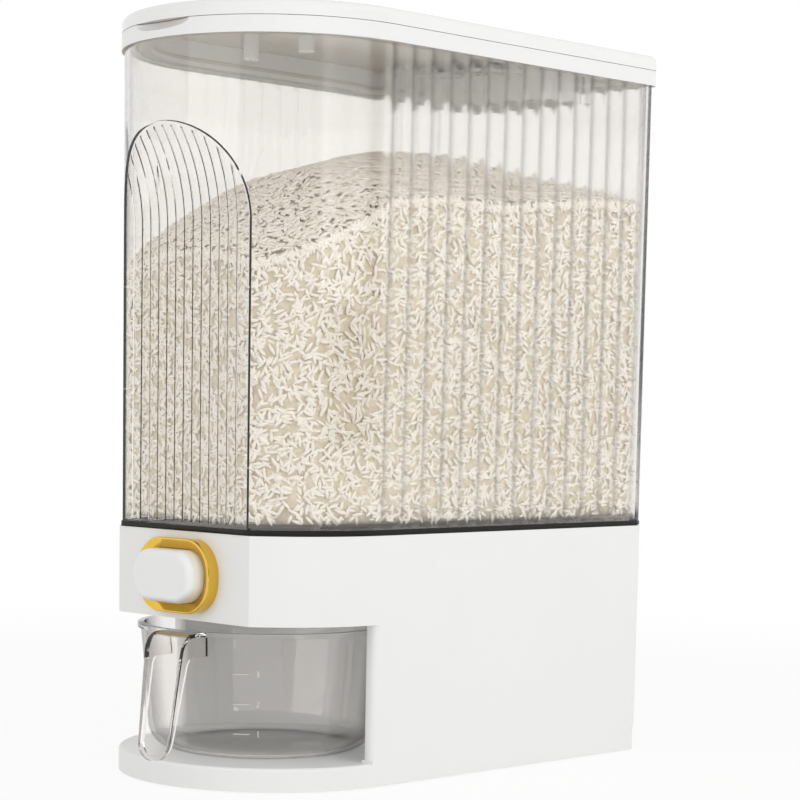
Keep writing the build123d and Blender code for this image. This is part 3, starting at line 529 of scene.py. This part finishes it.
# Pale paper sweep that runs white to the eye and still takes the object's soft shadow close to it.
floorLook = {"size": 8.0, "colour": "#F4F4F2", "roughness": 0.9, "ior": 1.45,
             "fibreMm": 2.0, "fibreDetail": 3.0, "relief": 0.03, "reliefMm": 0.4,
             "shadowShare": 0.12, "fadeFrom": 0.45, "fadeTo": 1.1}
floorMesh = bpy.data.meshes.new("floor")
half = floorLook["size"] / 2
floorMesh.from_pydata(
    [(-half, -half, 0), (half, -half, 0), (half, half, 0), (-half, half, 0)], [], [(0, 1, 2, 3)])
floor = bpy.data.objects.new("floor", floorMesh)
bpy.context.scene.collection.objects.link(floor)
paper, tree = newMaterial("paperSweep")
place = addNode(tree, "ShaderNodeTexCoord").outputs["Object"]
fibres = addNode(tree, "ShaderNodeTexNoise", {
    "Vector": place, "Scale": 1 / (floorLook["fibreMm"] * mm), "Detail": floorLook["fibreDetail"]})
relief = addNode(tree, "ShaderNodeBump", {
    "Height": fibres.outputs["Fac"], "Strength": floorLook["relief"], "Distance": floorLook["reliefMm"] * mm})
sheet = addNode(tree, "ShaderNodeBsdfPrincipled", {
    "Base Color": hexColour(floorLook["colour"]), "Roughness": floorLook["roughness"],
    "IOR": floorLook["ior"], "Normal": relief.outputs["Normal"]})
glow = addNode(tree, "ShaderNodeEmission", {"Color": white, "Strength": 1.0})
reach = addNode(tree, "ShaderNodeVectorMath", {0: place}, operation="LENGTH")
fade = addNode(tree, "ShaderNodeMapRange", {
    "Value": reach.outputs["Value"], "From Min": floorLook["fadeFrom"], "From Max": floorLook["fadeTo"],
    "To Min": 1 - floorLook["shadowShare"], "To Max": 1.0}, interpolation_type="SMOOTHSTEP")
seen = seenByEye(tree, addNode(tree, "ShaderNodeLightPath"))
share = addNode(tree, "ShaderNodeMath", {0: fade.outputs["Result"], 1: seen}, operation="MULTIPLY")
mixed = addNode(tree, "ShaderNodeMixShader", {0: share.outputs[0], 1: sheet.outputs[0], 2: glow.outputs[0]})
addNode(tree, "ShaderNodeOutputMaterial", {"Surface": mixed.outputs[0]})
floorMesh.materials.append(paper)

# The studio: an even white surround, a weak soft key low in front and a stronger soft fill on the right.
studio = {"surround": 0.68, "aim": (0, 0, 0.2),
          "key": {"watts": 7.0, "size": 1.4, "place": (-0.1, -1.9, 0.8)},
          "fill": {"watts": 14.0, "size": 1.3, "place": (1.9, 0.1, 0.9)},
          "gapTowards": (1.0, 0.25, 0.1), "gapReach": (0.25, 0.5), "gapColour": "#2A2723"}
world = bpy.data.worlds.new("studio")
bpy.context.scene.world = world
world.use_nodes = True
tree = world.node_tree
tree.nodes.clear()
path = addNode(tree, "ShaderNodeLightPath")
lit = addNode(tree, "ShaderNodeBackground", {"Color": white, "Strength": studio["surround"]})
# A polished metal also picks up the dark gap between the sweep and the ceiling on the right of the studio.
heading = addNode(tree, "ShaderNodeTexCoord").outputs["Generated"]
nearness = addNode(tree, "ShaderNodeVectorMath", {
    0: heading, 1: Vector(studio["gapTowards"]).normalized()}, operation="DISTANCE")
gap = addNode(tree, "ShaderNodeValToRGB", {"Fac": nearness.outputs["Value"]})
stops = gap.color_ramp.elements
stops[0].position, stops[0].color = studio["gapReach"][0], hexColour(studio["gapColour"])
stops[1].position, stops[1].color = studio["gapReach"][1], white
mirrored = addNode(tree, "ShaderNodeMix", {
    0: path.outputs["Is Glossy Ray"], 6: white, 7: gap.outputs["Color"]}, data_type="RGBA")
shown = addNode(tree, "ShaderNodeBackground", {"Color": mirrored.outputs[2], "Strength": 1.0})
mixed = addNode(tree, "ShaderNodeMixShader", {
    0: seenByEye(tree, path), 1: lit.outputs[0], 2: shown.outputs[0]})
addNode(tree, "ShaderNodeOutputWorld", {"Surface": mixed.outputs[0]})
for name in ("key", "fill"):
    look = studio[name]
    light = bpy.data.lights.new(name, "AREA")
    light.energy, light.size = look["watts"], look["size"]
    lamp = bpy.data.objects.new(name, light)
    beam = Vector(look["place"]) - Vector(studio["aim"])
    lamp.matrix_world = Matrix.Translation(look["place"]) @ beam.to_track_quat("Z", "Y").to_matrix().to_4x4()
    lamp.visible_glossy = False
    bpy.context.scene.collection.objects.link(lamp)

# The camera stands off the front right corner at half the object's height, a long lens held a degree
# off level.
view = {"place": (0.96001, -0.92947, 0.20673), "lens": 104.0, "sensor": 36.0, "rollDegrees": 1.0148}
cameraData = bpy.data.cameras.new("camera")
cameraData.lens = view["lens"]
cameraData.sensor_width = view["sensor"]
camera = bpy.data.objects.new("camera", cameraData)
roll = math.radians(view["rollDegrees"])
forward = Vector((-1, 1, 0)).normalized()
right = Vector((1, 1, 0)).normalized() * math.cos(roll) + Vector((0, 0, 1)) * math.sin(roll)
upward = right.cross(forward)
turn = Matrix((right, upward, -forward)).transposed().to_4x4()
camera.matrix_world = Matrix.Translation(view["place"]) @ turn
bpy.context.scene.collection.objects.link(camera)
bpy.context.scene.camera = camera
bpy.context.scene.view_settings.view_transform = "Standard"
print("studio and camera set")
